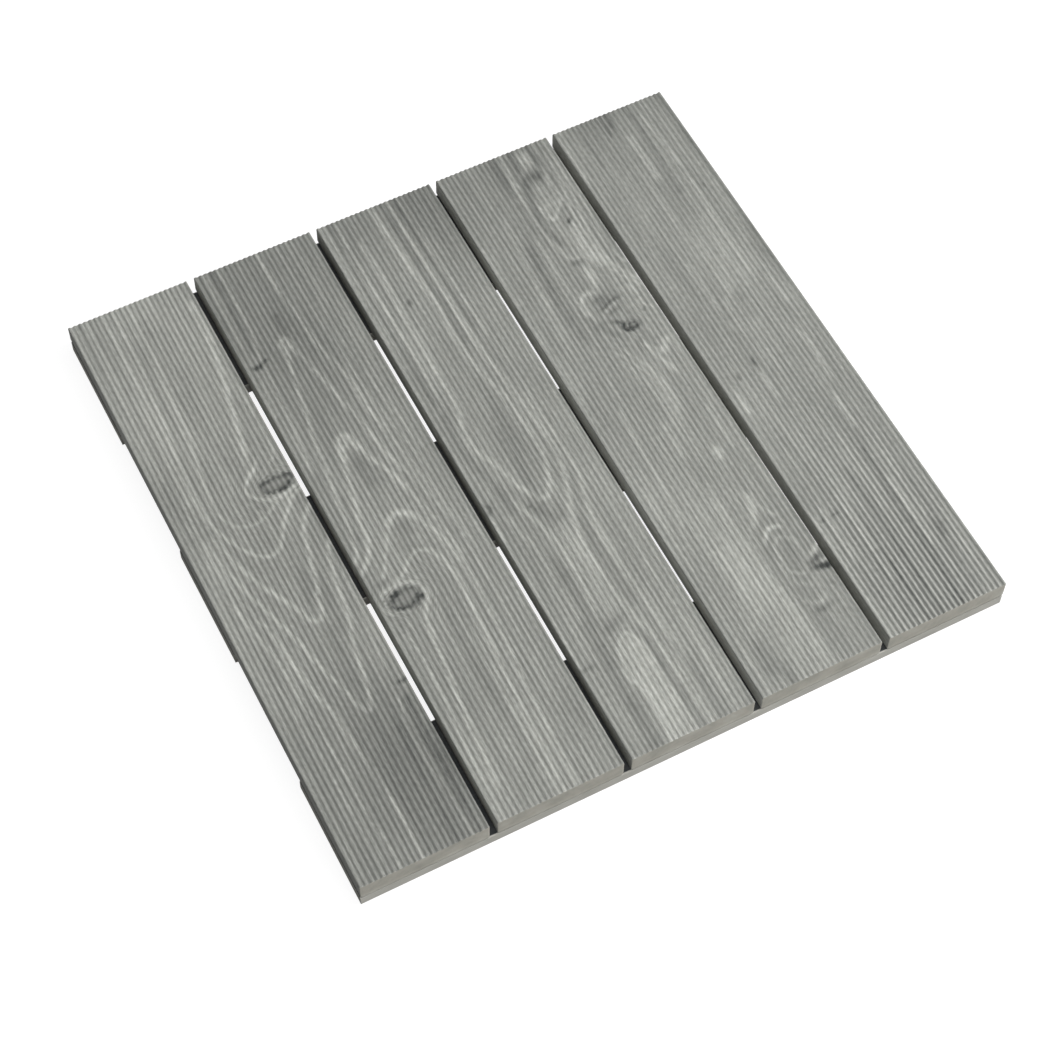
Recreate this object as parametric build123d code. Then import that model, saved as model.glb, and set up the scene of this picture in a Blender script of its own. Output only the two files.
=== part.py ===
from build123d import *

import math
import os

# Square deck tile: ribbed slats laid side by side on three cross battens and screwed from below.
# X runs across the slats, Y along them, +Z up. The origin is the centre of the underside.
# All sizes are in millimetres.

# Slats
slat_length = 500.0
slat_width = 95.2
slat_thickness = 17.5
slat_count = 5
slat_gap = 6.0
lower_edge_radius = 3.0
rib_pitch = 4.05
rib_depth = 1.0

# Battens
batten_width = 95.5
batten_thickness = 10.5
batten_edge_radius = 1.0

# Countersunk wood screws, one at each crossing, by turns left and right of the slat's middle
screw_length = 20.0
screw_diameter = 3.5
head_diameter = 7.0
head_recess = 0.5
tip_length = 3.0
hole_clearance = 0.2
screw_offset = 14.0

# Sizes that follow from the boards
tile_width = slat_count * slat_width + (slat_count - 1) * slat_gap
tile_height = batten_thickness + slat_thickness
slat_step = slat_width + slat_gap
slat_places = [(i - (slat_count - 1) / 2) * slat_step for i in range(slat_count)]
batten_reach = (slat_length - batten_width) / 2
batten_names = ["batten_near", "batten_middle", "batten_far"]
batten_places = [-batten_reach, 0.0, batten_reach]


def arc_through(start, middle, end):
    """Arc in the section plane through three points."""
    return ThreePointArc(start, middle, end)


def lower_corner(side):
    """Rounded lower edge of a slat, side -1 for the left and +1 for the right."""
    radius = lower_edge_radius
    reach = radius * math.sqrt(0.5)
    centre_x = side * (slat_width / 2 - radius)
    centre_z = batten_thickness + radius
    flat_end = (centre_x, batten_thickness)
    middle = (centre_x + side * reach, centre_z - reach)
    side_end = (side * slat_width / 2, centre_z)
    return arc_through(flat_end, middle, side_end)


def ribbed_top():
    """Chain of equal arcs from the left side to the right: a crest at each end, grooves between."""
    crests = round(slat_width / rib_pitch + 0.5)
    arcs = 2 * crests - 1
    step = slat_width / arcs
    join_z = tile_height - rib_depth / 2
    chain = []
    for i in range(arcs):
        left = -slat_width / 2 + i * step
        middle_z = tile_height if i % 2 == 0 else tile_height - rib_depth
        chain.append(arc_through((left, join_z), (left + step / 2, middle_z), (left + step, join_z)))
    return chain


def slat_section():
    """Closed section of a slat, centred on the slat, standing on the battens."""
    half = slat_width / 2
    flat_end = half - lower_edge_radius
    corner_z = batten_thickness + lower_edge_radius
    join_z = tile_height - rib_depth / 2
    edges = [Line((-flat_end, batten_thickness), (flat_end, batten_thickness))]
    edges.append(lower_corner(1))
    edges.append(Line((half, corner_z), (half, join_z)))
    edges += ribbed_top()
    edges.append(Line((-half, join_z), (-half, corner_z)))
    edges.append(lower_corner(-1))
    return make_face(edges)


def screw_place(slat_number, batten_number):
    """Place (x, y) of the screw where a slat crosses a batten, both counted from 0."""
    side = 1 if (slat_number + batten_number) % 2 else -1
    return slat_places[slat_number] + side * screw_offset, batten_places[batten_number]


def turned(profile):
    """Solid of revolution about Z from a closed list of (radius, height) points."""
    face = Plane.XZ * make_face(Polyline(*profile, close=True))
    return revolve(face, Axis.Z)


def screw():
    """One countersunk screw, head down, with its point up in the slat."""
    head = head_diameter / 2
    shank = screw_diameter / 2
    bottom = head_recess
    top = head_recess + screw_length
    profile = [(0, bottom), (head, bottom), (shank, bottom + head - shank)]
    profile += [(shank, top - tip_length), (0, top)]
    return turned(profile)


def screw_hole():
    """Countersink and straight hole for one screw, wider and deeper by the clearance."""
    head = head_diameter / 2
    shank = screw_diameter / 2
    wide = shank + hole_clearance / 2
    mouth = head + head_recess + hole_clearance / 2
    top = head_recess + screw_length + hole_clearance
    profile = [(0, 0), (mouth, 0), (wide, mouth - wide), (wide, top), (0, top)]
    return turned(profile)


def with_holes(board, places):
    """Board with a screw hole cut at each (x, y) place."""
    hole = screw_hole()
    for x, y in places:
        board -= Pos(x, y, 0) * hole
    return board


def slat(number):
    """One slat at its place across the tile, with its pilot holes."""
    start = (slat_places[number], slat_length / 2, 0)
    plane = Plane(origin=start, x_dir=(1, 0, 0), z_dir=(0, -1, 0))
    board = extrude(plane * slat_section(), amount=slat_length)
    places = [screw_place(number, crossed) for crossed in range(len(batten_places))]
    return with_holes(board, places)


def batten(number):
    """One cross batten at its place along the tile, with its countersunk holes."""
    middle = Pos(0, batten_places[number], batten_thickness / 2)
    board = middle * Box(tile_width, batten_width, batten_thickness)
    board = fillet(board.edges().filter_by(Axis.X), batten_edge_radius)
    places = [screw_place(crossed, number) for crossed in range(slat_count)]
    return with_holes(board, places)


def all_screws():
    """Every screw of the tile, as separate solids."""
    one = screw()
    places = [screw_place(i, j) for i in range(slat_count) for j in range(len(batten_places))]
    return [Pos(x, y, 0) * one for x, y in places]


def main():
    os.makedirs("parts", exist_ok=True)
    for number in range(slat_count):
        export_step(slat(number), f"parts/slat_{number + 1}.step")
    for number, name in enumerate(batten_names):
        export_step(batten(number), f"parts/{name}.step")
    export_step(Compound(children=all_screws()), "parts/screws.step")


main()
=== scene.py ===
"""Square deck tile: five ribbed slats of grey-stained pine on three cross battens.

The slats and the screws are surfaces worked out on grids. The battens keep their CAD meshes.
Sizes are in millimetres up to the point where a mesh is made, and metres after that.
"""

import math

import bpy
import numpy as np
from mathutils import Matrix, Vector, geometry


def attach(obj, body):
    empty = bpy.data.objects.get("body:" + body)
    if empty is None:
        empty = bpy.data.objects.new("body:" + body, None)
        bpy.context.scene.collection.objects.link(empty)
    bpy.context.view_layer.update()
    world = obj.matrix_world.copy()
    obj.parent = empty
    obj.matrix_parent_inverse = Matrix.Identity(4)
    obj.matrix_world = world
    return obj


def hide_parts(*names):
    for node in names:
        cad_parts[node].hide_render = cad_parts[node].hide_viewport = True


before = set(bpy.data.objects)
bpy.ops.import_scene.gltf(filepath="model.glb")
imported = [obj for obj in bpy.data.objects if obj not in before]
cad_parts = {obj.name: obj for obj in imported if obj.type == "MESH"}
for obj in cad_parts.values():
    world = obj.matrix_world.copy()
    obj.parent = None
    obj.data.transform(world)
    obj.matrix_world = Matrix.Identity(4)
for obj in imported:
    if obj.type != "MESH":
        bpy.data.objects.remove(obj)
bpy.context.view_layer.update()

MM = 0.001

# Slats: the same section as the solids
SLAT_COUNT = 5
SLAT_LENGTH = 500.0
SLAT_WIDTH = 95.2
SLAT_GAP = 6.0
SLAT_BOTTOM = 10.5
SLAT_TOP = 28.0
LOWER_RADIUS = 3.0
RIB_DEPTH = 1.0
CREST_COUNT = 24

# How finely the slats are drawn
POINTS_PER_ARC = 4
SIDE_POINTS = 9
CORNER_POINTS = 6
UNDERSIDE_POINTS = 13
ROW_STEP = 1.6
CAP_MARGIN = 0.7
CAP_STEP = 1.5

# How far the slats' faces leave their true form: eased ends, worn tops, sunken streaks, bent ribs
END_EASE = 0.35
TOOL_WEAR = 0.12
DARK_DEPTH = 0.10
SIDEWAYS_WANDER = 0.08

# Fibres: how wide and how long the streaks in the grain are
STREAK_WIDTH = 1.7
STREAK_LENGTH = 60.0

# Growth lines: how far apart their dots are, how they fade at their ends, and how they waver
DOT_STEP = 1.0
LINE_FADE = 9.0
SHORT_LINE_FADE = 0.3
LINE_LEVEL = 0.82
LINE_WAVER = 0.30
WAVER_LENGTH = 7.0
WAVER_SEED = 4
DARK_SHADE = 0.42

# Lightness: noise along the slat, and the knots' ragged outline, rim and middle
BROAD_DRIFT = 0.035
NARROW_DRIFT = 0.030
KNOT_RAGGED = 0.20
KNOT_EDGE = 0.2
KNOT_RIM = 0.74
KNOT_RIM_WIDTH = 0.22
KNOT_RIM_DARK = 0.28
KNOT_INSIDE_DARK = 0.15

# End grain: how far the rings wobble
RING_WOBBLE = 1.5
RING_SEED = 17

# How many random values the noise has each way before they repeat
LATTICE = 32

# Screws: the same place and outline as the solids
BATTEN_REACH = 202.25
SCREW_OFFSET = 14.0
HEAD_BOTTOM = 0.5
HEAD_RADIUS = 3.5
HEAD_BEVEL = 0.1
SHANK_RADIUS = 1.75
SCREW_TOP = 20.5
TIP_LENGTH = 3.0
TIP_RADIUS = 0.01
RECESS_DEPTH = 1.3
RECESS_REACH = 1.7
RECESS_WIDTH = 0.9
RECESS_SIDE_EASE = 0.15
RECESS_END_EASE = 0.3
THREAD_START = 6.0
THREAD_PITCH = 1.6
THREAD_DEPTH = 0.45
RIDGE_SHARE = 0.3
SCREW_TURNS = 48
SHANK_RINGS = 70

# Growth lines: the pale late wood that the stain leaves light, drawn after what each slat shows.
# A line is (strength, width, points), and a point is (y, x). Strength below 0 is a dark streak.

GROWTH_LINES = {
    "slat_1": [
        (0.95, 3.8, [(235, -160), (190, -161), (170, -164), (140, -169), (115, -174), (84, -179)]),
        (1.10, 2.4, [(84, -171), (75, -179), (68, -187), (59, -191), (50, -185), (46, -176), (47, -166),
                     (52, -150)]),
        (0.70, 2.0, [(150, -159), (100, -160), (80, -161), (73, -170)]),
        (0.45, 4.6, [(262, -202), (200, -203), (118, -210)]),
        (0.70, 2.6, [(140, -207), (120, -209), (100, -212), (70, -216), (55, -217), (44, -214), (37, -209),
                     (33, -200), (34, -190), (39, -181), (44, -173), (47, -160)]),
        (0.60, 4.0, [(262, -214), (182, -217), (110, -224)]),
        (0.90, 2.8, [(147, -219), (120, -223), (94, -225), (70, -226), (51, -225), (35, -221), (22, -215),
                     (12, -209), (6, -202), (4, -196), (7, -190), (14, -184), (25, -178), (34, -170),
                     (42, -164), (47, -150)]),
        (0.50, 4.0, [(262, -223), (184, -224), (134, -228), (94, -231), (60, -231)]),
        (0.60, 3.0, [(40, -230), (22, -225), (3, -219), (-10, -215)]),
        (1.00, 3.2, [(14, -222), (3, -219), (-13, -214), (-29, -206), (-42, -199), (-55, -194),
                     (-58, -188), (-54, -185), (-40, -182), (-34, -179), (-15, -175), (0, -171), (13, -168),
                     (22, -163), (36, -150)]),
        (0.60, 3.0, [(41, -236), (14, -231), (-13, -225), (-30, -220)]),
        (1.00, 3.0, [(0, -228), (-13, -225), (-42, -216), (-66, -209), (-93, -203),
                     (-114, -197), (-130, -193), (-137, -188), (-128, -184), (-103, -179), (-82, -175),
                     (-66, -170), (-34, -165), (-15, -161), (8, -150)]),
        (0.50, 3.0, [(60, -241), (1, -234), (-26, -229), (-45, -225)]),
        (0.85, 3.4, [(-26, -229), (-58, -222), (-93, -218), (-111, -215), (-125, -211), (-146, -209),
                     (-173, -206), (-199, -204), (-262, -203)]),
        (0.75, 2.8, [(-13, -239), (-39, -234), (-66, -229), (-106, -226), (-146, -224), (-199, -222),
                     (-262, -219)]),
        (0.50, 2.4, [(-79, -237), (-133, -233), (-186, -231), (-262, -231)]),
        (0.75, 2.2, [(-130, -165), (-149, -169), (-173, -170), (-226, -168), (-262, -166)]),
        (0.50, 2.0, [(-20, -157), (-60, -160), (-90, -163), (-118, -166)]),
        (0.40, 2.0, [(262, -246), (-262, -246)]),
        (0.40, 3.8, [(262, -237), (190, -238), (90, -242)]),
        (0.40, 2.2, [(120, -232), (40, -237), (-20, -243)]),
        (-0.25, 4.0, [(185, -193), (130, -195), (75, -194)]),
        (-0.30, 6.0, [(-10, -182), (-40, -187), (-50, -189)]),
        (-0.20, 7.0, [(-20, -172), (-55, -177)]),
        (-0.20, 9.0, [(-60, -180), (-95, -188), (-120, -190)]),
        (-0.25, 3.0, [(-150, -175), (-200, -178), (-262, -178)]),
        (-0.40, 5.0, [(-132, -160), (-160, -163), (-200, -163), (-262, -160)]),
        (-1.00, 2.8, [(-123, -150), (-126, -158), (-125, -165)]),
    ],
    "slat_2": [
        (0.90, 3.2, [(262, -98), (214, -97), (187, -94), (155, -92), (137, -88), (113, -84), (83, -83),
                     (60, -79)]),
        (0.45, 3.0, [(76, -82), (57, -79), (27, -74), (-13, -69), (-50, -67)]),
        (0.50, 3.0, [(-26, -71), (1, -77), (22, -82), (40, -86)]),
        (0.95, 3.2, [(22, -82), (51, -89), (73, -92), (102, -97), (126, -102), (153, -108), (167, -112),
                     (166, -115), (155, -116), (139, -119), (121, -122), (99, -125), (83, -129),
                     (57, -132), (27, -136), (-2, -139), (-21, -143), (-34, -152)]),
        (1.20, 3.6, [(146, -106), (160, -110), (169, -112), (168, -115), (157, -115), (142, -118)]),
        (0.90, 4.0, [(174, -113), (164, -113), (154, -113)]),
        (0.50, 3.2, [(-60, -76), (-26, -80), (-2, -85), (25, -92)]),
        (0.95, 3.6, [(5, -87), (19, -90), (35, -95), (49, -101), (62, -105), (71, -108), (71, -114),
                     (57, -117), (41, -121), (19, -125), (1, -130), (-17, -132), (-29, -138), (-42, -152)]),
        (1.25, 5.0, [(48, -101), (63, -105), (72, -109), (71, -114), (60, -116), (44, -120)]),
        (0.80, 4.4, [(76, -111), (66, -111), (56, -112)]),
        (0.80, 3.0, [(-262, -89), (-199, -86), (-159, -84), (-119, -81), (-85, -80), (-61, -80), (-42, -82),
                     (-26, -87), (-15, -92)]),
        (0.95, 4.4, [(-19, -90), (-10, -95), (-5, -101), (-4, -106), (-8, -111), (-16, -116)]),
        (0.85, 2.6, [(-12, -114), (-29, -124), (-42, -131), (-53, -139)]),
        (0.85, 3.0, [(-262, -98), (-199, -96), (-159, -94), (-119, -91), (-85, -89), (-61, -90), (-47, -93),
                     (-40, -99), (-39, -106), (-42, -112), (-49, -119), (-54, -126), (-60, -136)]),
        (0.50, 4.0, [(-140, -98), (-200, -102), (-262, -103)]),
        (1.10, 2.6, [(-60, -146), (-57, -129), (-59, -119), (-66, -114), (-74, -113), (-80, -117),
                     (-87, -121), (-97, -125)]),
        (1.00, 3.8, [(-90, -123), (-119, -126), (-146, -129), (-178, -133), (-213, -135), (-232, -137)]),
        (0.70, 2.4, [(-86, -128), (-91, -137), (-119, -138), (-159, -140), (-199, -143), (-262, -145)]),
        (0.60, 2.0, [(-66, -145), (-76, -144), (-79, -138)]),
        (0.70, 2.6, [(262, -130), (214, -130), (185, -131), (165, -134), (130, -136), (85, -139),
                     (50, -143)]),
        (0.45, 2.2, [(262, -141), (170, -142)]),
        (0.50, 2.4, [(262, -83), (214, -82), (174, -81), (142, -80), (115, -78), (83, -75), (14, -66)]),
        (0.45, 2.2, [(262, -74), (160, -74), (100, -70), (30, -61)]),
        (0.40, 2.2, [(40, -78), (-10, -71), (-60, -70), (-262, -74)]),
        (0.60, 2.2, [(145, -140), (131, -144), (105, -146)]),
        (-0.35, 3.4, [(262, -136), (200, -136), (162, -138)]),
        (-0.30, 7.0, [(168, -109), (195, -109)]),
        (-0.25, 9.0, [(55, -110), (20, -107)]),
        (-0.40, 6.0, [(-12, -103), (-24, -101)]),
        (-0.25, 5.0, [(-74, -106), (-120, -108), (-170, -107), (-230, -106)]),
        (-0.35, 5.0, [(-48, -133), (-54, -143)]),
        (-0.20, 6.0, [(30, -133), (-20, -138)]),
        (-0.35, 3.4, [(262, -145), (200, -146), (158, -146)]),
        (-0.90, 2.8, [(158, -130), (156, -136)]),
        (-1.30, 3.8, [(156, -135), (154, -139), (155, -144)]),
    ],
    "slat_3": [
        (0.85, 4.0, [(262, -5), (227, -2), (200, -1), (166, 1), (147, 3), (121, 1), (94, 2), (67, 6),
                     (46, 11), (27, 12), (6, 13), (-13, 11), (-26, 7), (-35, 2), (-41, -3), (-38, -8),
                     (-29, -14), (-13, -19), (1, -23), (14, -29), (25, -31), (36, -30), (54, -26), (94, -25),
                     (134, -24), (174, -23), (227, -24)]),
        (0.75, 4.0, [(262, 11), (201, 12), (147, 13), (105, 13), (67, 16), (41, 18), (14, 21), (-13, 21),
                     (-34, 17), (-47, 12), (-61, 7), (-74, 4), (-101, 2), (-127, 3), (-151, 6), (-173, 10),
                     (-205, 12), (-262, 15)]),
        (0.40, 4.0, [(-160, 10), (-210, 14), (-262, 17)]),
        (0.60, 3.2, [(262, 20), (187, 21), (147, 22), (100, 24)]),
        (0.60, 3.2, [(46, 24), (-13, 28), (-34, 27), (-53, 22), (-71, 18), (-101, 17), (-133, 18),
                     (-185, 21)]),
        (0.50, 3.4, [(-110, 34), (-170, 36), (-262, 33)]),
        (0.75, 3.6, [(-28, -26), (-41, -23), (-61, -17), (-77, -14), (-93, -13), (-119, -14), (-146, -17)]),
        (0.35, 9.0, [(-64, -5), (-100, -6), (-146, -6)]),
        (0.50, 3.4, [(-38, -37), (-66, -31), (-93, -28), (-145, -28)]),
        (0.70, 3.6, [(250, -33), (187, -34), (94, -33), (66, -35)]),
        (0.55, 2.8, [(262, -43), (94, -44)]),
        (0.95, 3.0, [(-262, 2), (-199, 1), (-170, -1), (-163, -5), (-167, -12), (-183, -18), (-194, -20),
                     (-205, -16), (-226, -15), (-262, -18)]),
        (0.65, 7.0, [(-162, -6), (-185, -3), (-262, -2)]),
        (0.60, 7.0, [(-162, -9), (-190, -8), (-262, -7)]),
        (0.65, 7.0, [(-166, -11), (-192, -15), (-215, -12), (-262, -13)]),
        (0.80, 2.8, [(-34, -46), (-66, -46)]),
        (0.40, 3.0, [(-90, -45), (-180, -46)]),
        (-0.35, 5.0, [(262, 5), (190, 7), (100, 7)]),
        (-0.35, 5.0, [(262, 16), (180, 17), (110, 18)]),
        (-0.35, 3.6, [(262, -38), (180, -39), (60, -38)]),
        (-0.30, 6.0, [(60, -36), (20, -39), (-15, -32), (-45, -29)]),
        (-0.30, 6.0, [(-44, 4), (-60, -2), (-50, -12), (-38, -18)]),
        (-0.35, 5.0, [(-160, 6), (-200, 6), (-262, 8)]),
        (-0.35, 6.0, [(-150, 2), (-153, -10), (-158, -19)]),
        (-0.35, 8.0, [(-84, -22), (-130, -23), (-180, -27), (-262, -27)]),
        (-0.25, 6.0, [(-60, 12), (-100, 10), (-150, 12)]),
        (-0.25, 4.0, [(-190, 24), (-262, 22)]),
        (-0.80, 3.8, [(158, -15), (154, -15)]),
        (-0.80, 2.6, [(-26, -47), (-31, -43), (-37, -47)]),
        (-0.55, 3.0, [(-175, -33), (-176, -50)]),
        (-0.80, 1.8, [(-43, -15), (-43, -19)]),
    ],
    "slat_4": [
        (0.75, 2.8, [(262, 147), (225, 145), (200, 143), (166, 137), (137, 135), (121, 137), (105, 144),
                     (92, 152)]),
        (0.70, 2.8, [(240, 141), (206, 139), (174, 133), (137, 132), (115, 135), (99, 143), (88, 150)]),
        (0.60, 2.4, [(262, 151), (200, 148), (160, 144), (130, 143), (112, 149)]),
        (0.50, 2.2, [(262, 136), (240, 135), (215, 136)]),
        (0.95, 3.2, [(228, 133), (214, 131), (190, 130), (183, 124), (176, 117), (182, 114), (204, 115)]),
        (0.90, 6.0, [(246, 126), (228, 126)]),
        (0.90, 6.0, [(246, 121), (228, 121)]),
        (0.55, 7.0, [(212, 127), (198, 127), (184, 122)]),
        (0.55, 7.0, [(214, 121), (198, 120), (182, 118)]),
        (0.85, 2.8, [(262, 108), (235, 107), (217, 107), (211, 111)]),
        (0.65, 3.2, [(226, 104), (205, 103), (185, 103), (166, 105), (152, 107), (140, 110), (135, 115),
                     (139, 120), (152, 122)]),
        (0.95, 5.0, [(172, 129), (145, 128), (118, 130)]),
        (0.85, 5.0, [(168, 125), (142, 124), (122, 125)]),
        (0.80, 6.0, [(128, 118), (104, 117)]),
        (1.30, 3.4, [(100, 115), (103, 109), (103, 104), (99, 100), (89, 98), (79, 101)]),
        (0.80, 5.0, [(98, 138), (86, 141)]),
        (0.80, 2.6, [(88, 128), (86, 118), (80, 108)]),
        (0.70, 2.4, [(84, 148), (80, 138), (74, 142), (68, 150)]),
        (0.85, 5.0, [(46, 141), (36, 138), (33, 132), (40, 128)]),
        (0.85, 3.6, [(50, 121), (27, 128), (8, 133)]),
        (0.60, 2.8, [(54, 104), (40, 109), (27, 115), (14, 118), (-13, 119), (-24, 118)]),
        (0.50, 2.6, [(50, 99), (36, 106), (19, 113), (-5, 115), (-34, 114)]),
        (0.35, 2.6, [(40, 100), (20, 107), (-10, 110), (-40, 109)]),
        (1.20, 5.8, [(-58, 125), (-69, 125)]),
        (1.20, 5.0, [(-101, 125), (-112, 125), (-119, 126)]),
        (1.00, 5.0, [(-106, 124), (-118, 122), (-126, 119), (-133, 114)]),
        (0.60, 3.0, [(-112, 127), (-124, 132), (-132, 137)]),
        (1.25, 3.2, [(-143, 137), (-136, 130), (-136, 124), (-141, 119), (-150, 115)]),
        (0.80, 2.8, [(-160, 138), (-149, 134), (-145, 128), (-149, 122), (-160, 120), (-174, 122),
                     (-178, 128), (-174, 135)]),
        (0.55, 2.8, [(-183, 136), (-188, 129), (-184, 122), (-173, 118), (-156, 116)]),
        (0.60, 2.8, [(-196, 137), (-203, 129), (-200, 120), (-188, 115)]),
        (1.10, 3.6, [(-160, 151), (-165, 145), (-168, 139)]),
        (0.80, 2.4, [(-174, 151), (-176, 144)]),
        (0.50, 8.0, [(-80, 104), (-120, 103), (-160, 103), (-200, 106), (-262, 108)]),
        (0.40, 8.0, [(-125, 95), (-185, 97), (-262, 100)]),
        (0.50, 5.0, [(-20, 101), (-60, 101)]),
        (0.50, 2.6, [(-20, 138), (-70, 137)]),
        (0.65, 2.6, [(6, 79), (-26, 77), (-66, 75), (-110, 73)]),
        (0.40, 5.0, [(200, 84), (150, 79), (100, 77)]),
        (0.45, 6.0, [(170, 98), (130, 96), (90, 97)]),
        (0.50, 2.4, [(180, 57), (-10, 58)]),
        (0.40, 2.2, [(-60, 61), (-262, 61)]),
        (0.35, 5.0, [(-130, 84), (-200, 86)]),
        (-1.50, 3.0, [(66, 129), (62, 129), (60, 125), (60, 120), (62, 117), (65, 117), (67, 121),
                      (67, 125)]),
        (-0.50, 2.6, [(60, 124), (63, 129), (67, 126), (67, 121)]),
        (-1.20, 3.0, [(66, 119), (70, 115), (73, 109)]),
        (-0.55, 3.0, [(97, 119), (95, 112), (92, 105)]),
        (-0.75, 3.0, [(90, 131), (90, 122), (86, 112), (84, 104)]),
        (-0.50, 2.6, [(82, 124), (80, 116), (78, 110)]),
        (-0.30, 7.0, [(98, 118), (90, 112), (82, 106)]),
        (-0.35, 5.0, [(72, 112), (74, 104), (70, 96)]),
        (-0.70, 2.0, [(75, 142), (70, 136)]),
        (-0.40, 5.0, [(56, 112), (64, 106), (74, 100)]),
        (-0.35, 5.0, [(52, 124), (44, 120), (36, 122)]),
        (-0.50, 8.0, [(219, 129), (220, 116)]),
        (-0.55, 4.6, [(262, 115), (240, 116), (225, 115)]),
        (-0.50, 4.6, [(225, 115), (201, 110), (174, 107), (160, 109), (148, 114)]),
        (-0.45, 5.0, [(262, 102), (235, 100), (205, 99)]),
        (-0.20, 5.0, [(205, 99), (170, 100), (150, 101)]),
        (-0.40, 5.0, [(262, 131), (240, 131), (225, 131)]),
        (-0.35, 6.0, [(-262, 80), (-230, 78)]),
        (-0.35, 6.0, [(165, 88), (130, 85), (100, 84), (60, 86)]),
        (-0.60, 4.5, [(132, 118), (133, 109)]),
        (-1.00, 2.8, [(172, 129), (168, 125)]),
        (-1.10, 4.2, [(-169, 147), (-172, 141), (-174, 134)]),
        (-1.40, 4.6, [(-181, 152), (-179, 144), (-176, 134)]),
        (-0.40, 4.0, [(-206, 134), (-209, 127), (-206, 119)]),
        (-0.35, 2.6, [(-190, 139), (-196, 145)]),
        (-0.35, 10.0, [(-208, 72), (-240, 70)]),
    ],
    "slat_5": [
        (0.60, 3.2, [(262, 223), (230, 226), (200, 228), (175, 229)]),
        (0.50, 3.0, [(168, 229), (120, 227), (60, 226)]),
        (0.70, 5.0, [(225, 207), (170, 207)]),
        (0.40, 5.0, [(130, 216), (50, 218)]),
        (0.35, 7.0, [(120, 205), (50, 204)]),
        (0.80, 3.2, [(-52, 225), (-95, 224)]),
        (0.75, 3.4, [(-132, 223), (-202, 222)]),
        (0.55, 2.4, [(-60, 209), (-164, 208)]),
        (0.50, 2.2, [(-55, 204), (-130, 204)]),
        (0.55, 3.0, [(10, 229), (0, 231), (-50, 230)]),
        (1.00, 3.8, [(-11, 187), (-46, 187)]),
        (0.95, 3.2, [(-20, 162), (-48, 162)]),
        (0.70, 2.8, [(-131, 182), (-215, 182)]),
        (0.60, 2.8, [(-131, 166), (-190, 166)]),
        (0.60, 2.6, [(-132, 158), (-262, 158)]),
        (0.50, 4.0, [(60, 196), (15, 193)]),
        (0.55, 2.6, [(100, 187), (20, 188)]),
        (0.60, 3.0, [(262, 159), (190, 158)]),
        (0.50, 3.0, [(262, 233), (225, 233)]),
        (0.50, 3.0, [(60, 236), (25, 237)]),
        (0.45, 2.6, [(0, 243), (-50, 243)]),
        (0.50, 2.6, [(-110, 231), (-180, 230)]),
        (-0.35, 4.0, [(262, 217), (225, 218), (150, 216)]),
        (-0.80, 3.0, [(262, 201), (228, 200)]),
        (-0.55, 2.6, [(262, 195), (222, 195)]),
        (-0.50, 2.6, [(250, 173), (200, 175)]),
        (-0.25, 8.0, [(60, 208), (25, 207)]),
        (-0.90, 2.6, [(-2, 187), (-11, 187)]),
        (-0.70, 2.6, [(-12, 170), (-16, 170)]),
        (-0.60, 2.4, [(-146, 177), (-147, 169)]),
        (-0.55, 2.4, [(-147, 163), (-148, 160)]),
        (-0.45, 5.0, [(-182, 234), (-198, 234)]),
        (-0.35, 3.0, [(-100, 219), (-180, 218), (-262, 216)]),
        (-0.35, 3.0, [(-110, 199), (-190, 198), (-262, 198)]),
        (-0.30, 3.0, [(-140, 188), (-262, 188)]),
        (-0.40, 2.4, [(262, 247), (40, 247)]),
        (-0.50, 2.4, [(157, 235), (151, 235)]),
    ],
}

# Knots are (y, x, reach along, reach across): a dark rim round a paler middle.
# Tones are (y, x, reach along, reach across, change): soft patches of lighter or darker wood.

KNOTS = {
    "slat_1": [(57, -169, 8.0, 14.5)],
    "slat_2": [(-69, -128, 9.5, 15.0)],
    "slat_3": [],
    "slat_4": [(63, 124, 3.0, 4.5)],
    "slat_5": [],
}

TONES = {
    "slat_1": [(250, -200, 260, 90, 0.11), (-190, -175, 110, 55, -0.17), (-250, -205, 220, 90, -0.10),
               (55, -186, 28, 14, -0.05), (-180, -158, 70, 6, -0.12), (250, -247, 60, 8, 0.06)],
    "slat_2": [(190, -100, 210, 90, -0.13), (250, -134, 90, 4, -0.10), (70, -75, 60, 40, 0.02),
               (-230, -95, 150, 60, 0.04), (150, -113, 25, 10, -0.03), (-50, -147, 40, 5, -0.08)],
    "slat_3": [(245, 38, 120, 50, -0.19), (240, -20, 70, 60, -0.08), (8, -5, 50, 17, -0.08),
               (-40, 40, 130, 22, 0.05), (-190, 0, 170, 70, 0.03), (-180, 30, 90, 30, 0.05)],
    "slat_4": [(240, 105, 70, 55, -0.09), (240, 96, 30, 8, -0.05), (90, 118, 18, 16, -0.06),
               (-190, 88, 130, 32, 0.07), (-150, 130, 60, 20, -0.02), (120, 90, 70, 12, -0.02)],
    "slat_5": [(-230, 200, 90, 60, -0.07), (252, 200, 30, 60, -0.08), (110, 200, 130, 60, 0.04)],
}

# Painted light on a slat's sides: how much lighter its left and right sides are painted than its top, and
# how much painted shade darkens them low down
SIDE_PAINTED_LIGHT = {
    "slat_1": (-0.03, 0.10, 0.06),
    "slat_2": (0.33, 0.10, 0.28),
    "slat_3": (0.15, 0.10, 0.32),
    "slat_4": (0.46, 0.10, 0.18),
    "slat_5": (0.24, 0.10, 0.0),
}

# Painted light and shade on the ribs: tones times a wave of one pitch, where the ribs stand out more, or
# less, than their form makes them
RIB_PAINTED_LIGHT = {
    "slat_1": [(-240, -180, 90, 50, 0.03)],
    "slat_2": [],
    "slat_3": [],
    "slat_4": [],
    "slat_5": [(-260, 202, 260, 90, 0.19), (200, 202, 200, 80, -0.04)],
}

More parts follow.
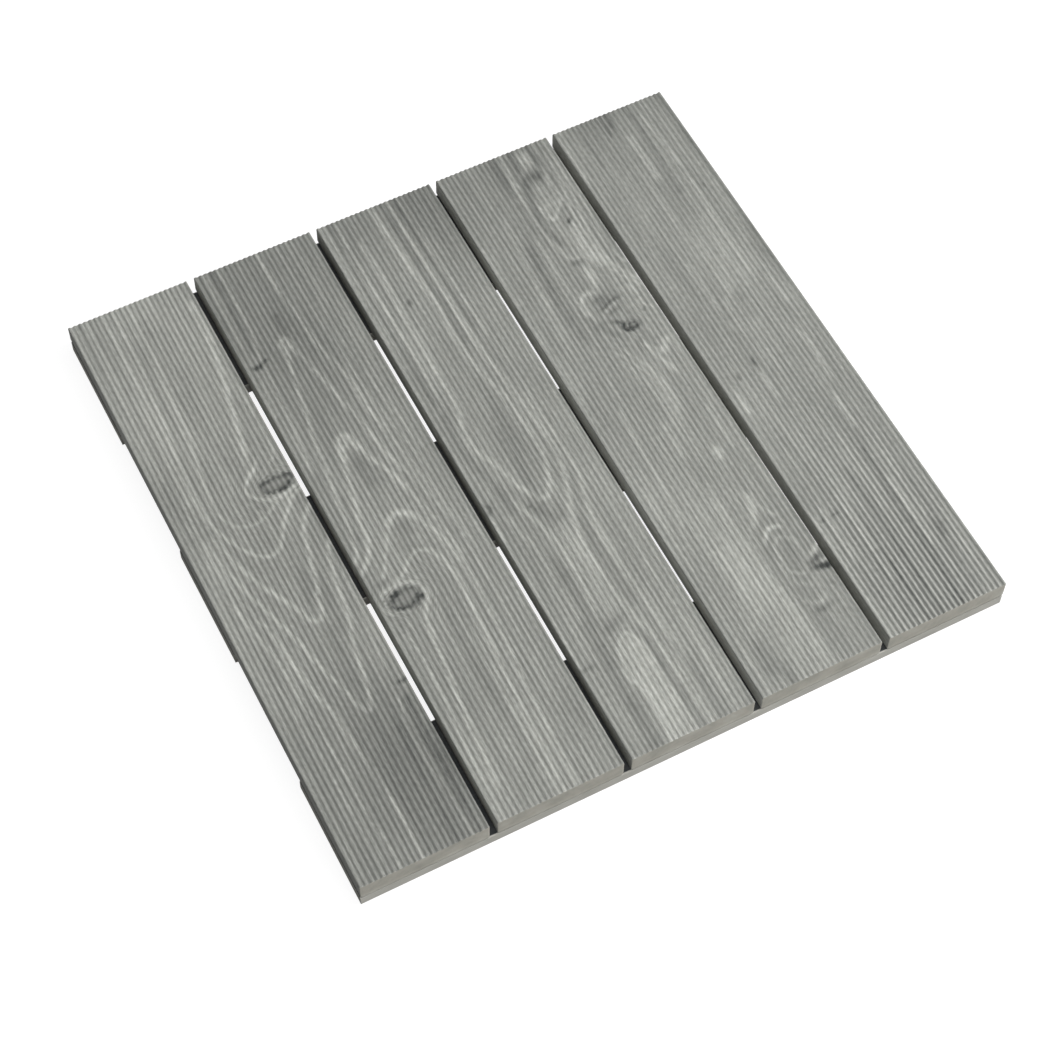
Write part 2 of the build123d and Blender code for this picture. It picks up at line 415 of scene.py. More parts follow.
# The heart of the log behind each slat's end, as (x from the slat's middle, z), for the end grain
HEARTS = {
    "slat_1": (10.0, -20.0),
    "slat_2": (-14.0, 8.0),
    "slat_3": (-4.0, -8.0),
    "slat_4": (24.0, -6.0),
    "slat_5": (180.0, -40.0),
}


# Smooth noise and curves


def smooth(t):
    """Ease curve 3t^2 - 2t^3 of t held between 0 and 1."""
    t = np.clip(t, 0.0, 1.0)
    return t * t * (3.0 - 2.0 * t)


def space_noise(x, y, z, seed):
    """Smooth noise from -1 to 1: random values at whole-number points, eased between them."""
    table = np.random.default_rng(seed).uniform(-1.0, 1.0, (LATTICE, LATTICE, LATTICE))
    ix = np.floor(x).astype(int)
    iy = np.floor(y).astype(int)
    iz = np.floor(z).astype(int)
    fx = smooth(x - ix)
    fy = smooth(y - iy)
    fz = smooth(z - iz)
    total = np.zeros_like(fx)
    for dx in (0, 1):
        for dy in (0, 1):
            for dz in (0, 1):
                weight = np.abs(1 - dx - fx) * np.abs(1 - dy - fy) * np.abs(1 - dz - fz)
                total += weight * table[(ix + dx) % LATTICE, (iy + dy) % LATTICE, (iz + dz) % LATTICE]
    return total


def plane_noise(x, y, seed):
    """Smooth noise from -1 to 1 on a plane."""
    return space_noise(x, y, np.zeros_like(x), seed)


def smooth_path(points):
    """Points one step apart on the Hermite curve through the given ones, whose slope at each is the
    line between its two neighbours."""
    given = np.array(points, float)
    gaps = np.hypot(*np.diff(given, axis=0).T)
    at = np.concatenate([[0.0], np.cumsum(gaps)])
    slopes = np.gradient(given, at, axis=0)
    s = np.linspace(0.0, at[-1], int(at[-1] / DOT_STEP) + 2)
    i = np.clip(np.searchsorted(at, s, side="right") - 1, 0, len(gaps) - 1)
    t = ((s - at[i]) / gaps[i])[:, None]
    span = gaps[i][:, None]
    start = (1 + 2 * t) * (1 - t) ** 2 * given[i] + t * (1 - t) ** 2 * span * slopes[i]
    end = t * t * (3 - 2 * t) * given[i + 1] - t * t * (1 - t) * span * slopes[i + 1]
    return start + end


# Figure of the wood on the top of a slat, as arrays of one value for each row and column


def lay_line(canvas, rows, columns, line):
    """Draw one growth line: at each place the strongest of its dots, which fade to 0 at its width.

    Its strength wavers a little on the way and tapers to nothing at both ends.
    """
    strength, width, points = line
    path = smooth_path(points)
    steps = np.arange(len(path)) * DOT_STEP
    fade = min(LINE_FADE, SHORT_LINE_FADE * steps[-1])
    force = smooth(steps / fade) * smooth((steps[-1] - steps) / fade)
    waver = plane_noise(path[:, 0] / WAVER_LENGTH, path[:, 1] / WAVER_LENGTH, WAVER_SEED)
    force *= abs(strength) * (LINE_LEVEL + LINE_WAVER * waver)
    for (y, x), peak in zip(path, force):
        some_rows = slice(*np.searchsorted(rows, (y - width, y + width)))
        some_columns = slice(*np.searchsorted(columns, (x - width, x + width)))
        away = np.hypot(rows[some_rows, None] - y, columns[None, some_columns] - x)
        dot = peak * (1.0 - smooth(away / width))
        canvas[some_rows, some_columns] = np.maximum(canvas[some_rows, some_columns], dot)


def line_figure(name, rows, columns):
    """How strong the pale growth lines and the dark streaks of a slat are: one array for each."""
    pale = np.zeros((len(rows), len(columns)))
    dark = np.zeros_like(pale)
    for line in GROWTH_LINES[name]:
        lay_line(pale if line[0] > 0 else dark, rows, columns, line)
    return pale, dark


def knot_distance(y, x, knot):
    """Distance from a knot's centre, where 1 is its rim."""
    knot_y, knot_x, along, across = knot
    return np.sqrt(((x - knot_x) / across) ** 2 + ((y - knot_y) / along) ** 2)


def knot_shade(y, x, knot, seed):
    """How much darker a knot makes the wood: a little inside it, and more along a broken rim."""
    ragged = knot_distance(y, x, knot) + KNOT_RAGGED * plane_noise(x / 2.6, y / 1.8, seed + 2)
    inside = smooth((1.0 - ragged) / KNOT_EDGE)
    rim = np.exp(-(((ragged - KNOT_RIM) / KNOT_RIM_WIDTH) ** 2))
    rim *= 0.85 + 0.9 * plane_noise(x / 4, y / 3, seed + 3)
    return KNOT_INSIDE_DARK * inside + KNOT_RIM_DARK * rim


def patches(y, x, tones):
    """Sum of soft patches, each its change at the centre and 0 beyond its reach."""
    total = np.zeros_like(x)
    for patch_y, patch_x, along, across, change in tones:
        total += change * (1.0 - smooth(np.hypot((y - patch_y) / along, (x - patch_x) / across)))
    return total


def shade_figure(name, centre_x, rows, columns, seed):
    """Lightness about 1: drift noise, soft patches, painted light and shade on the rib flanks, and dark
    ragged knots.
    """
    x, y = np.meshgrid(columns, rows)
    shade = 1.0 + BROAD_DRIFT * plane_noise(x / 30, y / 75, seed)
    shade += NARROW_DRIFT * plane_noise(x / 9, y / 40, seed + 1)
    shade += patches(y, x, TONES[name])
    pitch = SLAT_WIDTH / (CREST_COUNT - 0.5)
    phase = 2 * math.pi * ((x - centre_x + SLAT_WIDTH / 2) / pitch - 0.5)
    # Painted light and shade: lighter and darker by turns across each rib
    shade += patches(y, x, RIB_PAINTED_LIGHT[name]) * np.cos(phase)
    for knot in KNOTS[name]:
        shade -= knot_shade(y, x, knot, seed)
    return shade


def flow_figure(name, rows, columns):
    """Where the fibres run: x, parted round each knot as x - (x - knot) / distance^2."""
    x, y = np.meshgrid(columns, rows)
    flow = x.copy()
    for knot in KNOTS[name]:
        away = np.maximum(knot_distance(y, x, knot), 1.0)
        flow -= (x - knot[1]) / away**2
    return flow


# Slat meshes


def slat_centre(index):
    """Middle of a slat across the tile, counted from 0 at the left."""
    return (index - SLAT_COUNT // 2) * (SLAT_WIDTH + SLAT_GAP)


def rib_line():
    """Top of a slat from its left side to its right, as (across, height) points.

    It is a chain of equal arcs, crests and grooves by turns. Each spans half a pitch and rises or
    sinks by half the rib depth, so its radius is (a^2 + s^2) / 2s for half span a and rise s.
    """
    half = SLAT_WIDTH / 2
    arcs = 2 * CREST_COUNT - 1
    span = SLAT_WIDTH / arcs
    sagitta = RIB_DEPTH / 2
    radius = ((span / 2) ** 2 + sagitta**2) / (2 * sagitta)
    steps = np.arange(arcs * POINTS_PER_ARC + 1)
    across = -half + steps * span / POINTS_PER_ARC
    arc = np.minimum(steps // POINTS_PER_ARC, arcs - 1)
    off = across - (-half + (arc + 0.5) * span)
    rise = np.sqrt(radius**2 - off**2) - (radius - sagitta)
    sign = np.where(arc % 2 == 0, 1.0, -1.0)
    return np.stack([across, SLAT_TOP - sagitta + sign * rise], axis=1)


def slat_outline():
    """Closed outline of a slat, clockwise seen from the near end, and how many points its top has.

    Straight sides and quarter circles at the lower corners close the ribbed top.
    """
    half = SLAT_WIDTH / 2
    top = rib_line()
    corner_z = SLAT_BOTTOM + LOWER_RADIUS
    side_z = np.linspace(top[-1, 1], corner_z, SIDE_POINTS)[1:]
    side = np.stack([np.full_like(side_z, half), side_z], axis=1)
    turn = np.linspace(0.0, math.pi / 2, CORNER_POINTS)[1:]
    corner_x = half - LOWER_RADIUS + LOWER_RADIUS * np.cos(turn)
    corner = np.stack([corner_x, corner_z - LOWER_RADIUS * np.sin(turn)], axis=1)
    under_x = np.linspace(half - LOWER_RADIUS, -half + LOWER_RADIUS, UNDERSIDE_POINTS)[1:-1]
    under = np.stack([under_x, np.full_like(under_x, SLAT_BOTTOM)], axis=1)
    left_corner = corner[::-1] * (-1.0, 1.0)
    left_side = side[::-1] * (-1.0, 1.0)
    return np.concatenate([top, side, corner, under, left_corner, left_side]), len(top)


def slat_rows():
    """Places along the slat: close together at the two ends, where the edge is eased."""
    half = SLAT_LENGTH / 2
    near = -half + np.array([0.0, END_EASE, 2.5 * END_EASE])
    inner = np.linspace(near[-1], -near[-1], int(SLAT_LENGTH / ROW_STEP))
    return np.concatenate([near[:-1], inner, -near[:-1][::-1]])


def cap_mesh(outline):
    """Triangles that fill the outline, over its own points and a grid of inner points."""
    low = outline.min(axis=0) + CAP_MARGIN
    high = outline.max(axis=0) - (CAP_MARGIN, CAP_MARGIN + RIB_DEPTH)
    grid_x, grid_z = np.meshgrid(np.arange(low[0], high[0], CAP_STEP), np.arange(low[1], high[1], CAP_STEP))
    inner = np.stack([grid_x.ravel(), grid_z.ravel()], axis=1)
    beyond = np.maximum(np.abs(inner[:, 0]) - (SLAT_WIDTH / 2 - LOWER_RADIUS), 0.0)
    below = np.maximum(SLAT_BOTTOM + LOWER_RADIUS - inner[:, 1], 0.0)
    inner = inner[np.hypot(beyond, below) < LOWER_RADIUS - CAP_MARGIN]
    points = np.concatenate([outline, inner])
    loop = list(range(len(outline)))[::-1]
    found = geometry.delaunay_2d_cdt([Vector(p) for p in points], [], [loop], 1, 1e-5)
    return np.array([tuple(v) for v in found[0]]), np.array(found[2])


def slat_body(centre_x, seed, outline, rows, is_top, dark):
    """Points (x, y, z) of the outline carried along Y, one ring for each row.

    The top sinks by the end ease over the last rows, by worn patches of smooth noise and along the
    dark streaks. The ribs wander a little sideways, by smooth noise too.
    """
    y = np.repeat(rows, len(outline))
    x = centre_x + np.tile(outline[:, 0], len(rows))
    z = np.tile(outline[:, 1], len(rows))
    ease = END_EASE - np.clip(SLAT_LENGTH / 2 - np.abs(y), 0.0, END_EASE)
    wear = TOOL_WEAR * (0.5 + 0.5 * plane_noise(x / 3.0, y / 14.0, seed + 5))
    sunk = ease + wear + DARK_DEPTH * dark.ravel()
    z = np.where(np.tile(is_top, len(rows)), z - sunk, z)
    x = x + SIDEWAYS_WANDER * space_noise(x / 3.0, y / 60.0, z / 8.0, seed + 6)
    return np.stack([x, y, z], axis=1)


def slat_faces(row_count, ring_size, inner_count, triangles):
    """Quads of a slat's long faces, and the triangles of its near and far ends.

    The rings come first in the mesh, then the inner points of the near end, then the far end's.
    """
    start = np.arange(row_count - 1)[:, None] * ring_size
    this = np.arange(ring_size)[None, :]
    following = (this + 1) % ring_size
    corners = [start + this, start + following, start + ring_size + following, start + ring_size + this]
    quads = np.stack(corners, axis=-1).reshape(-1, 4)
    ring_points = row_count * ring_size
    near = np.concatenate([np.arange(ring_size), ring_points + np.arange(inner_count)])
    far = near + inner_count
    far[:ring_size] = ring_points - ring_size + np.arange(ring_size)
    return quads, np.concatenate([near[triangles], far[triangles][:, ::-1]])


def end_rings(name, across, z):
    """Growth rings on a slat's end: distance from the heart of the log, with a little wobble."""
    heart_x, heart_z = HEARTS[name]
    distance = np.hypot(across - heart_x, z - heart_z)
    return distance + RING_WOBBLE * plane_noise(across / 14, z / 14, RING_SEED)


def side_painted_light(name, outline, is_top):
    """Change of lightness round the outline: the sides' painted lightness, and painted shade that darkens
    them low down.
    """
    left, right, painted_low_shade = SIDE_PAINTED_LIGHT[name]
    lighter = np.where(outline[:, 0] < 0.0, left, right)
    upright = smooth((np.abs(outline[:, 0]) - SLAT_WIDTH / 2 + LOWER_RADIUS) / LOWER_RADIUS)
    depth = (SLAT_TOP - outline[:, 1]) / (SLAT_TOP - SLAT_BOTTOM)
    return np.where(is_top, 0.0, upright * (lighter - painted_low_shade * depth**2))


def carried_columns(outline, top_count):
    """For each point of the outline, the column of the top whose figure it has.

    The figure runs straight down the sides, and the underside repeats the top's.
    """
    columns = np.arange(top_count)
    lower = np.round(np.interp(outline[top_count:, 0], outline[:top_count, 0], columns))
    return np.concatenate([columns, lower.astype(int)])


def add_attribute(mesh, name, values):
    """Store one number, or a row of three, for each vertex of a mesh."""
    if values.ndim == 1:
        mesh.attributes.new(name, "FLOAT", "POINT").data.foreach_set("value", values.astype(np.float32))
    else:
        layer = mesh.attributes.new(name, "FLOAT_VECTOR", "POINT")
        layer.data.foreach_set("vector", values.astype(np.float32).ravel())


def slat_figure(name, centre_x, seed, outline, top_count, rows):
    """Pale lines, dark streaks, lightness and flow of the fibres at each row and outline point."""
    columns = centre_x + outline[:top_count, 0]
    carried = carried_columns(outline, top_count)
    pale, dark = line_figure(name, rows, columns)
    shade = shade_figure(name, centre_x, rows, columns, seed) - DARK_SHADE * dark
    flow = flow_figure(name, rows, columns)
    return [layer[:, carried] for layer in (pale, dark, shade, flow)]


def store_figure(mesh, name, centre_x, seed, points, pale, shade, flow):
    """Store what the materials read. The ends' inner points have no lines and a plain lightness."""
    on_ends = np.zeros(len(points) - pale.size)
    fibre_x = np.concatenate([flow.ravel(), points[flow.size:, 0]]) / STREAK_WIDTH
    fibre_z = points[:, 2] / STREAK_WIDTH * 0.5 + seed
    add_attribute(mesh, "late_wood", np.concatenate([pale.ravel(), on_ends]))
    # The shade attribute holds the wood's own lightness, with painted light and shade on the rib flanks and
    # sides
    add_attribute(mesh, "shade", np.concatenate([shade.ravel(), on_ends + 1.0]))
    add_attribute(mesh, "streaks", np.stack([fibre_x, points[:, 1] / STREAK_LENGTH, fibre_z], axis=1))
    add_attribute(mesh, "rings", end_rings(name, points[:, 0] - centre_x, points[:, 2]))


def slat_mesh(name, centre_x, seed, wood, end_wood):
    """One slat: its long faces, a filled cap at each end, and the wood's figure stored on them."""
    outline, top_count = slat_outline()
    rows = slat_rows()
    is_top = np.arange(len(outline)) < top_count
    pale, dark, shade, flow = slat_figure(name, centre_x, seed, outline, top_count, rows)
    body = slat_body(centre_x, seed, outline, rows, is_top, dark)
    cap_points, triangles = cap_mesh(outline)
    inner = cap_points[len(outline):] + (centre_x, 0.0)
    near_inner = np.insert(inner, 1, rows[0], axis=1)
    far_inner = np.insert(inner, 1, -rows[0], axis=1)
    points = np.concatenate([body, near_inner, far_inner])
    quads, end_faces = slat_faces(len(rows), len(outline), len(inner), triangles)

    mesh = bpy.data.meshes.new(name + "_wood")
    mesh.from_pydata((points * MM).tolist(), [], quads.tolist() + end_faces.tolist())
    on_end = np.arange(len(mesh.polygons)) >= len(quads)
    mesh.polygons.foreach_set("use_smooth", np.ones(len(on_end), dtype=bool))
    mesh.materials.append(wood)
    mesh.materials.append(end_wood)
    mesh.polygons.foreach_set("material_index", on_end.astype(np.int32))
    # The sides get painted light, and painted shade low down
    shade = shade + side_painted_light(name, outline, is_top)
    store_figure(mesh, name, centre_x, seed, points, pale, shade, flow)
    mesh.update()
    return mesh


# Screws


def recess_depth(x, y):
    """How deep the cross recess is at a place on the head: a product of eases over its two arms."""
    narrow = np.minimum(np.abs(x), np.abs(y))
    reach = np.maximum(np.abs(x), np.abs(y))
    beside = smooth((RECESS_WIDTH / 2 - narrow) / RECESS_SIDE_EASE + 0.5)
    return RECESS_DEPTH * (beside * smooth((RECESS_REACH - reach) / RECESS_END_EASE + 0.5))


def shank_radius(turns, height):
    """Radius of the shank: a core that narrows to the tip, under a thread.

    The thread is a ridge that climbs one pitch a turn, over a groove cut from the core.
    """
    core = np.minimum(SHANK_RADIUS, (SCREW_TOP - height) * SHANK_RADIUS / TIP_LENGTH + TIP_RADIUS)
    climb = (height / THREAD_PITCH - turns / (2 * math.pi)) % 1.0
    ridge = np.clip(1.0 - np.abs(climb - 0.5) / RIDGE_SHARE, 0.0, 1.0)
    return np.maximum(core - THREAD_DEPTH * (1.0 - ridge) * (height > THREAD_START), TIP_RADIUS)


def screw_surface():
    """One screw as a grid of points (turn, ring), head down.

    The first rings lie on the head's face with its recess; then come the countersunk cone and the
    threaded shank.
    """
    turns = np.linspace(0.0, 2 * math.pi, SCREW_TURNS, endpoint=False)[:, None]
    face = np.concatenate([[0.02], np.linspace(0.25, 2.2, 14), [2.8, HEAD_RADIUS - HEAD_BEVEL]])
    face_z = HEAD_BOTTOM + recess_depth(face * np.cos(turns), face * np.sin(turns))
    cone = np.linspace(0.0, 1.0, 5)
    cone_r = HEAD_RADIUS + (SHANK_RADIUS - HEAD_RADIUS) * cone
    cone_z = HEAD_BOTTOM + HEAD_BEVEL + (HEAD_RADIUS - SHANK_RADIUS) * cone
    shank_z = np.linspace(cone_z[-1] + 0.2, SCREW_TOP, SHANK_RINGS)
    ones = np.ones_like(turns)
    radius = np.concatenate([face * ones, cone_r * ones, shank_radius(turns, shank_z)], axis=1)
    height = np.concatenate([face_z, cone_z * ones, shank_z * ones], axis=1)
    return np.stack([radius * np.cos(turns), radius * np.sin(turns), height], axis=-1)


def screw_places():
    """Place (x, y) of each screw, by turns left and right of its slat's middle."""
    places = []
    for slat in range(SLAT_COUNT):
        for batten, y in enumerate((-BATTEN_REACH, 0.0, BATTEN_REACH)):
            side = 1 if (slat + batten) % 2 else -1
            places.append((slat_centre(slat) + side * SCREW_OFFSET, y))
    return places


def screws_mesh():
    """All screws in one mesh: the grid of one screw, closed at both ends and set at each place."""
    one = screw_surface()
    turns, rings = one.shape[:2]
    turn = np.arange(turns)[:, None] * rings
    following = (np.arange(turns)[:, None] + 1) % turns * rings
    ring = np.arange(rings - 1)[None, :]
    corners = [turn + ring, following + ring, following + ring + 1, turn + ring + 1]
    quads = np.stack(corners, axis=-1).reshape(-1, 4)
    face_end = turn[::-1, 0]
    tip_end = turn[:, 0] + rings - 1
    points = []
    faces = []
    for x, y in screw_places():
        start = len(points) * turns * rings
        points.append(one.reshape(-1, 3) + (x, y, 0.0))
        faces += (quads + start).tolist()
        faces += [(face_end + start).tolist(), (tip_end + start).tolist()]
    mesh = bpy.data.meshes.new("screws_steel")
    mesh.from_pydata((np.concatenate(points) * MM).tolist(), [], faces)
    mesh.polygons.foreach_set("use_smooth", np.ones(len(faces), dtype=bool))
    mesh.update()
    return mesh


# Materials


def linear(hex_colour):
    """Linear RGBA of an sRGB hex colour."""
    channels = [int(hex_colour[i:i + 2], 16) / 255 for i in (1, 3, 5)]
    return [c / 12.92 if c <= 0.04045 else ((c + 0.055) / 1.055) ** 2.4 for c in channels] + [1.0]


def node(tree, kind, settings=None, stops=None, **inputs):
    """Add a node, set its properties, and set or link its inputs, named by socket or by i and number.

    The stops of a colour ramp are (place, hex colour). The node itself comes back.
    """
    made = tree.nodes.new(kind)
    for key, value in (settings or {}).items():
        setattr(made, key, value)
    for place, colour in (stops or [])[2:]:
        made.color_ramp.elements.new(place)
    for number, (place, colour) in enumerate(stops or []):
        made.color_ramp.elements[number].position = place
        made.color_ramp.elements[number].color = linear(colour)
    for key, value in inputs.items():
        socket = made.inputs[int(key[1:])] if key[1:].isdigit() else made.inputs[key.replace("_", " ")]
        if isinstance(value, bpy.types.NodeSocket):
            tree.links.new(value, socket)
        else:
            socket.default_value = value
    return made


def new_material(name):
    """Node material with a Principled shader wired to its output."""
    material = bpy.data.materials.new(name)
    material.use_nodes = True
    tree = material.node_tree
    return material, tree, tree.nodes["Principled BSDF"]


def finish_wood(tree, shader, value, stops, height, bump, rough, shine):
    """Dull wood: colours picked by a value, and a tenth of a millimetre of bump by a height."""
    colour = node(tree, "ShaderNodeValToRGB", stops=stops, i0=value)
    raised = node(tree, "ShaderNodeBump", Strength=bump, Distance=0.1 * MM, Height=height)
    tree.links.new(colour.outputs[0], shader.inputs["Base Color"])
    tree.links.new(raised.outputs[0], shader.inputs["Normal"])
    shader.inputs["Roughness"].default_value = rough
    shader.inputs["Specular IOR Level"].default_value = shine


MULTIPLY = {"operation": "MULTIPLY"}
ADD = {"operation": "ADD"}
MULTIPLY_ADD = {"operation": "MULTIPLY_ADD"}
MAXIMUM = {"operation": "MAXIMUM"}
SINE = {"operation": "SINE"}


def grey_pine_material():
    """Pine, planed and ribbed, stained grey and gone dull outdoors: the stain sinks into the soft
    early wood and leaves the hard late wood paler, as light lines over fine matt streaks."""
    material, tree, shader = new_material("grey_stained_pine")
    late = node(tree, "ShaderNodeAttribute", {"attribute_name": "late_wood"}).outputs["Fac"]
    shade = node(tree, "ShaderNodeAttribute", {"attribute_name": "shade"}).outputs["Fac"]
    place = node(tree, "ShaderNodeAttribute", {"attribute_name": "streaks"}).outputs["Vector"]
    streak = node(tree, "ShaderNodeTexNoise", Vector=place, Scale=1.0, Detail=3.0, Roughness=0.6)
    wide = node(tree, "ShaderNodeTexNoise", Vector=place, Scale=0.42, Detail=1.0)
    close = node(tree, "ShaderNodeMapping", Vector=place, Scale=(2.0, 14.0, 2.0))
    fibre = node(tree, "ShaderNodeTexNoise", Vector=close.outputs[0], Scale=1.0, Detail=3.0)
    broken = node(tree, "ShaderNodeMath", MULTIPLY_ADD, i0=fibre.outputs[0], i1=0.28, i2=0.10)
    pale = node(tree, "ShaderNodeMath", MULTIPLY_ADD, i0=late, i1=broken.outputs[0], i2=shade)
    band = node(tree, "ShaderNodeMath", MULTIPLY_ADD, i0=wide.outputs[0], i1=0.16, i2=pale.outputs[0])
    soft = node(tree, "ShaderNodeMath", MULTIPLY_ADD, i0=streak.outputs[0], i1=0.40, i2=band.outputs[0])
    fine = node(tree, "ShaderNodeMath", MULTIPLY_ADD, i0=fibre.outputs[0], i1=0.44, i2=soft.outputs[0])
    value = node(tree, "ShaderNodeMath", MULTIPLY_ADD, i0=fine.outputs[0], i1=0.5, i2=-0.25)
    stops = [(0.0, "#121417"), (0.25, "#484a48"), (0.5, "#949590"), (0.6, "#b2b3ad"), (0.75, "#d4d5d0")]
    finish_wood(tree, shader, value.outputs[0], stops, fibre.outputs[0], bump=0.6, rough=0.8, shine=0.25)
    return material


def end_grain_material():
    """Sawn end of the stained pine: it drinks the stain evenly, so the rings show only faintly, under
    soft yellowish and pinkish patches, and towards the bottom it is painted lighter, against the shade of
    the joint below."""
    material, tree, shader = new_material("stained_end_grain")
    rings = node(tree, "ShaderNodeAttribute", {"attribute_name": "rings"}).outputs["Fac"]
    place = node(tree, "ShaderNodeTexCoord").outputs["Object"]
    wave = node(tree, "ShaderNodeMath", SINE, i0=rings)
    cloud = node(tree, "ShaderNodeTexNoise", Vector=place, Scale=55.0, Detail=3.0, Roughness=0.6)
    grit = node(tree, "ShaderNodeTexNoise", Vector=place, Scale=900.0, Detail=2.0)
    faint = node(tree, "ShaderNodeMath", MULTIPLY_ADD, i0=wave.outputs[0], i1=0.02, i2=cloud.outputs[0])
    value = node(tree, "ShaderNodeMath", MULTIPLY_ADD, i0=grit.outputs[0], i1=0.10, i2=faint.outputs[0])
    height = node(tree, "ShaderNodeSeparateXYZ", Vector=place).outputs["Z"]
    # Painted light: the end is lightened towards the bottom, against the shade of the joint below
    painted_lift = node(tree, "ShaderNodeMapRange", Value=height, From_Min=0.0155, From_Max=0.0115, To_Max=0.28)
    lifted_value = node(tree, "ShaderNodeMath", ADD, i0=value.outputs[0], i1=painted_lift.outputs[0])
    stops = [(0.35, "#97968e"), (0.5, "#9f9e95"), (0.6, "#a6a39a"), (0.75, "#abaaa1"), (1.0, "#bdbcb3")]
    finish_wood(tree, shader, lifted_value.outputs[0], stops, grit.outputs[0], bump=0.5, rough=0.85, shine=0.2)
    return material


def batten_material():
    """The same stained pine, rough sawn, with straight fuzzy grain along the batten, and painted shade,
    near black, on the upper face, which only shows at the bottom of the gaps."""
    material, tree, shader = new_material("rough_sawn_pine")
    place = node(tree, "ShaderNodeTexCoord").outputs["Object"]
    along = node(tree, "ShaderNodeMapping", Vector=place, Scale=(25.0, 700.0, 700.0))
    grain = node(tree, "ShaderNodeTexNoise", Vector=along.outputs[0], Scale=1.0, Detail=4.0)
    cloud = node(tree, "ShaderNodeTexNoise", Vector=place, Scale=40.0, Detail=2.0)
    faint = node(tree, "ShaderNodeMath", MULTIPLY, i0=cloud.outputs[0], i1=0.5)
    value = node(tree, "ShaderNodeMath", MULTIPLY_ADD, i0=grain.outputs[0], i1=0.5, i2=faint.outputs[0])
    # Painted shade: the upward face is pushed to the dark end of the ramp
    facing = node(tree, "ShaderNodeNewGeometry").outputs["True Normal"]
    up = node(tree, "ShaderNodeSeparateXYZ", Vector=facing).outputs["Z"]
    painted_shade_factor = node(tree, "ShaderNodeMapRange", Value=up, From_Min=0.99, To_Min=1.0, To_Max=0.1)
    painted_shade_value = node(tree, "ShaderNodeMath", MULTIPLY, i0=painted_shade_factor.outputs[0], i1=value.outputs[0])
    stops = [(0.0, "#30353d"), (0.3, "#9f9e97"), (0.5, "#afaea7"), (0.7, "#bab9b2")]
    finish_wood(tree, shader, painted_shade_value.outputs[0], stops, grain.outputs[0], bump=0.5, rough=0.85, shine=0.2)
    return material


def zinc_material():
    """Zinc-plated steel: a pale bluish metal with a slightly cloudy shine."""
    material, tree, shader = new_material("zinc_plated_steel")
    place = node(tree, "ShaderNodeTexCoord").outputs["Object"]
    cloud = node(tree, "ShaderNodeTexNoise", Vector=place, Scale=900.0, Detail=2.0)
    stops = [(0.3, "#b4b8bb"), (0.7, "#d3d6d8")]
    colour = node(tree, "ShaderNodeValToRGB", stops=stops, i0=cloud.outputs[0])
    tree.links.new(colour.outputs[0], shader.inputs["Base Color"])
    rough = node(tree, "ShaderNodeMath", MULTIPLY_ADD, i0=cloud.outputs[0], i1=0.2, i2=0.25)
    tree.links.new(rough.outputs[0], shader.inputs["Roughness"])
    shader.inputs["Metallic"].default_value = 1.0
    return material


# Camera, light and floor: metres and watts, the roll in degrees, the lens in millimetres

CAMERA_PLACE = (-0.4671, -0.8742, 1.5813)
CAMERA_AIM = (-0.01933, -0.03991, 0.0)
CAMERA_ROLL = 0.951
CAMERA_LENS = 87.87
SENSOR_WIDTH = 36.0

KEY = {"place": (1.55, -0.75, 2.1), "size": 0.9, "power": 49.0}
OVERHEAD = {"place": (0.25, 0.1, 2.4), "size": 2.0, "power": 19.5}
FRONT = {"place": (0.1, -2.6, 0.75), "size": 1.2, "power": 29.0}
WHITE = (1.0, 1.0, 1.0, 1.0)
SKY = 0.12
FLOOR_REACH = 3.0
FLOOR_DULL = (0.25, 0.25, 0.25, 1.0)
FLOOR_GLOW = 0.9


def add_camera():
    """Camera at the photograph's viewing angle, turned by its roll about the line of sight."""
    camera = bpy.data.objects.new("camera", bpy.data.cameras.new("camera"))
    camera.data.lens = CAMERA_LENS
    camera.data.sensor_width = SENSOR_WIDTH
    sight = Vector(CAMERA_AIM) - Vector(CAMERA_PLACE)
    turn = sight.to_track_quat("-Z", "Y").to_matrix().to_4x4()
    roll = Matrix.Rotation(math.radians(CAMERA_ROLL), 4, "Z")
    camera.matrix_world = Matrix.Translation(CAMERA_PLACE) @ turn @ roll
    bpy.context.collection.objects.link(camera)
    bpy.context.scene.camera = camera


def add_area_light(name, light):
    """Square soft light that faces the middle of the tile."""
    lamp = bpy.data.objects.new(name, bpy.data.lights.new(name, "AREA"))
    lamp.data.size = light["size"]
    lamp.data.energy = light["power"]
    lamp.location = light["place"]
    lamp.rotation_euler = (-Vector(light["place"])).to_track_quat("-Z", "Y").to_euler()
    bpy.context.collection.objects.link(lamp)


def seen_rays(tree):
    """1 on rays from the camera, mirrors and glass, 0 on the light that falls on the tile."""
    ray = node(tree, "ShaderNodeLightPath").outputs
    seen = node(tree, "ShaderNodeMath", MAXIMUM, i0=ray["Is Camera Ray"], i1=ray["Is Glossy Ray"])
    return node(tree, "ShaderNodeMath", MAXIMUM, i0=seen.outputs[0], i1=ray["Is Transmission Ray"])


def add_sky():
    """Dim even white sky, at full strength where it is seen."""
    world = bpy.data.worlds.new("studio")
    bpy.context.scene.world = world
    world.use_nodes = True
    tree = world.node_tree
    sky = tree.nodes["Background"]
    sky.inputs["Color"].default_value = WHITE
    seen = seen_rays(tree)
    strength = node(tree, "ShaderNodeMath", MULTIPLY_ADD, i0=seen.outputs[0], i1=1.0 - SKY, i2=SKY)
    tree.links.new(strength.outputs[0], sky.inputs["Strength"])


